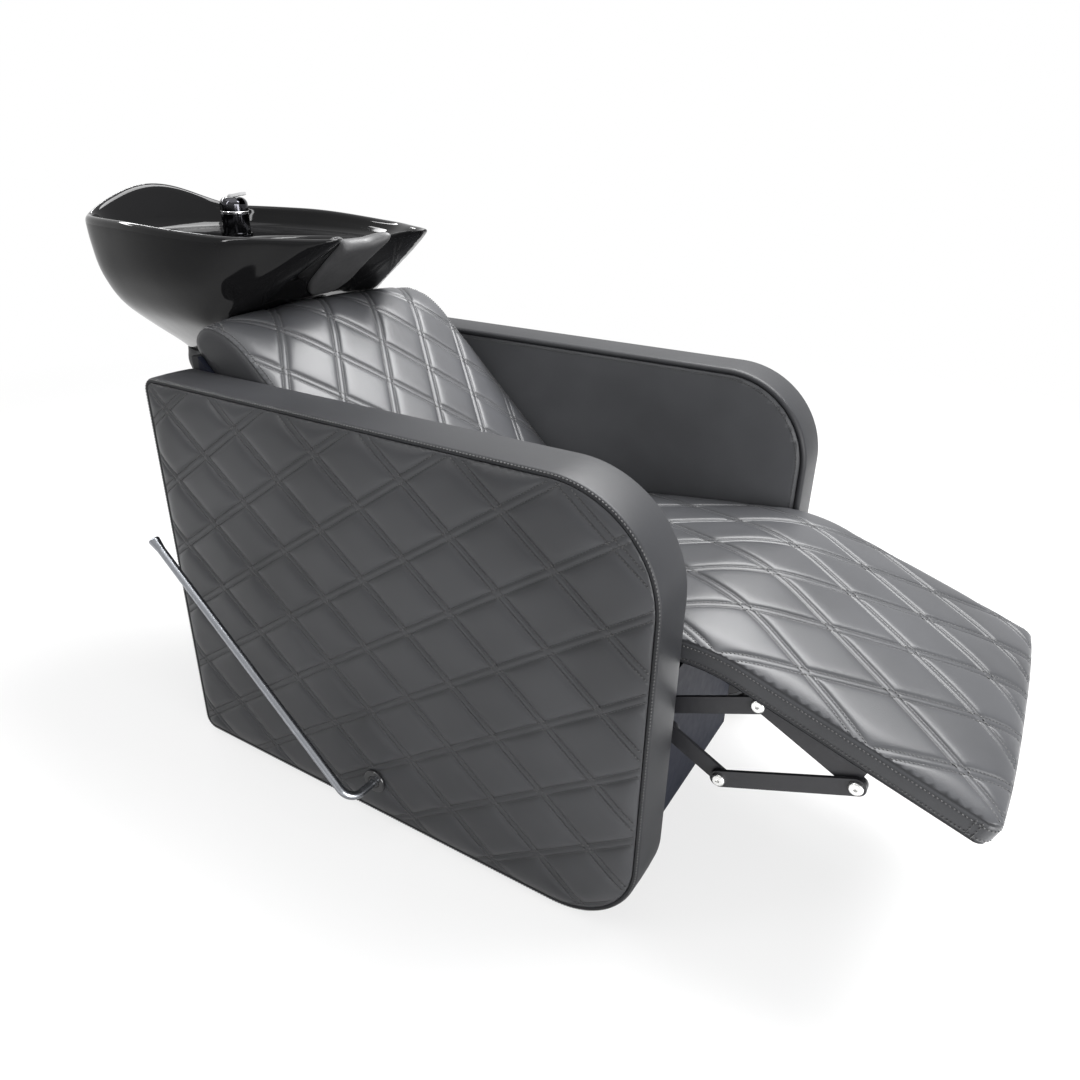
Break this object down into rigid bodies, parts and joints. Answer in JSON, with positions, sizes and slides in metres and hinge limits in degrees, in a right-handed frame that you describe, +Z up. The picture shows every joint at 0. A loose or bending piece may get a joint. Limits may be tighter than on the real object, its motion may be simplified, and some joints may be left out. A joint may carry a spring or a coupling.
{
  "type": "hair washing bed",
  "caption": "Salon hair washing bed: quilted reclined seat between padded arm panels, lever-folded leg rest and a tilting black basin with neck pad.",
  "frame": {"origin": "on the floor, under the middle of the bed's width and of the arm panels' length, at the underside of the middle foot", "axes": "+Z up, +Y along the bed towards the basin, -Y towards the leg rest, -X the side with the fold lever"},
  "size_m": [0.7692, 1.7044, 0.953],
  "materials": {
    "leather_charcoal": "semi-matt grained synthetic leather, charcoal",
    "leather_plain": "plain charcoal synthetic leather",
    "plywood": "raw plywood",
    "cover_board": "dark painted board",
    "black_steel": "black powder coat",
    "bright_steel": "zinc plated steel",
    "satin_chrome": "dark satin chrome",
    "chrome": "bright chrome",
    "black_chrome": "black gloss plated",
    "black_plastic": "black moulded plastic",
    "gloss_plastic": "glossy black plastic",
    "black_ceramic": "gloss black glaze",
    "grey_rubber": "matt grey rubber"
  },
  "bodies": {
    "bed_frame": {"panel_core_left": "plywood", "panel_band_left": "leather_charcoal", "panel_lining_left": "leather_charcoal", "panel_quilt_left": "leather_charcoal", "side_board_left": "cover_board", "hinge_arm_left": "black_steel", "panel_core_right": "plywood", "panel_band_right": "leather_charcoal", "panel_lining_right": "leather_charcoal", "panel_quilt_right": "leather_charcoal", "side_board_right": "cover_board", "hinge_arm_right": "black_steel", "floor_glides": "black_plastic", "front_cross_rail": "plywood", "rear_cross_rail": "plywood", "centre_rail": "plywood", "front_board": "cover_board", "front_posts": "cover_board", "rear_panel": "leather_plain", "seat_deck": "plywood", "seat_cushion": "leather_charcoal", "backrest_cushion": "leather_charcoal", "backrest_board": "cover_board", "frame_pivot_bolts": "bright_steel", "frame_washers": "bright_steel", "arm_bolts": "bright_steel", "lever_grommet": "gloss_plastic", "shaft_bush": "black_plastic", "stand_cover": "leather_plain", "stand_foot": "black_steel", "tilt_fork": "black_steel", "tilt_bolt": "bright_steel"},
    "legrest": {"legrest_board": "cover_board", "legrest_cushion": "leather_charcoal", "legrest_bracket_left": "black_steel", "legrest_bracket_right": "black_steel", "bracket_pivot_bolts": "bright_steel", "bracket_washers": "bright_steel"},
    "drive_links": {"drive_link_left": "black_steel", "drive_link_right": "black_steel", "torque_tube": "black_steel", "link_pivot_bolts": "bright_steel", "link_washers": "bright_steel", "rod_link_pin": "bright_steel"},
    "coupler_left": {"coupler_left": "black_steel"},
    "coupler_right": {"coupler_right": "black_steel"},
    "lever": {"lever_rod": "satin_chrome", "lever_knob": "satin_chrome", "crank_arm": "black_steel", "crank_pin": "bright_steel"},
    "push_rod": {"push_rod": "black_steel"},
    "basin": {"basin": "black_ceramic", "neck_pad": "grey_rubber", "strainer": "chrome", "waste_tail": "black_plastic", "basin_plate": "black_steel", "mixer_body": "black_chrome", "mixer_ring": "chrome"},
    "mixer_cap": {"mixer_cap": "black_chrome"},
    "mixer_handle": {"mixer_handle": "chrome"}
  },
  "joints": [
    {"name": "legrest_fold", "type": "hinge", "parent": "bed_frame", "child": "legrest", "pos_m": [0, -0.5565, 0.398], "axis": [1, 0, 0], "range_deg": [0, 68]},
    {"name": "drive_link_turn", "type": "hinge", "parent": "bed_frame", "child": "drive_links", "pos_m": [0, -0.3855, 0.33], "axis": [1, 0, 0], "range_deg": [0, 68]},
    {"name": "coupler_left_turn", "type": "hinge", "parent": "drive_links", "child": "coupler_left", "pos_m": [-0.2389, -0.51932, 0.26004], "axis": [1, 0, 0], "range_deg": [-68, 0]},
    {"name": "coupler_right_turn", "type": "hinge", "parent": "drive_links", "child": "coupler_right", "pos_m": [0.2389, -0.51932, 0.26004], "axis": [1, 0, 0], "range_deg": [-68, 0]},
    {"name": "lever_turn", "type": "hinge", "parent": "bed_frame", "child": "lever", "pos_m": [-0.3, 0.0165, 0.081], "axis": [1, 0, 0], "range_deg": [0, 68]},
    {"name": "push_rod_turn", "type": "hinge", "parent": "lever", "child": "push_rod", "pos_m": [-0.2268, -0.03667, 0.0532], "axis": [1, 0, 0], "range_deg": [-68, 0]},
    {"name": "basin_tilt", "type": "hinge", "parent": "bed_frame", "child": "basin", "pos_m": [0, 0.6715, 0.59], "axis": [-1, 0, 0], "range_deg": [0, 12]},
    {"name": "mixer_swivel", "type": "hinge", "parent": "basin", "child": "mixer_cap", "pos_m": [0.035, 0.6455, 0.92], "axis": [0, 0, 1], "range_deg": [-50, 50]},
    {"name": "mixer_lift", "type": "hinge", "parent": "mixer_cap", "child": "mixer_handle", "pos_m": [0.035, 0.6455, 0.93207], "axis": [-1, 0, 0], "range_deg": [0, 20]}
  ],
  "couplings": [
    {"joint": "drive_link_turn", "follows": "legrest_fold", "ratio": 1},
    {"joint": "coupler_left_turn", "follows": "legrest_fold", "ratio": -1},
    {"joint": "coupler_right_turn", "follows": "legrest_fold", "ratio": -1},
    {"joint": "lever_turn", "follows": "legrest_fold", "ratio": 1},
    {"joint": "push_rod_turn", "follows": "legrest_fold", "ratio": -1}
  ]
}
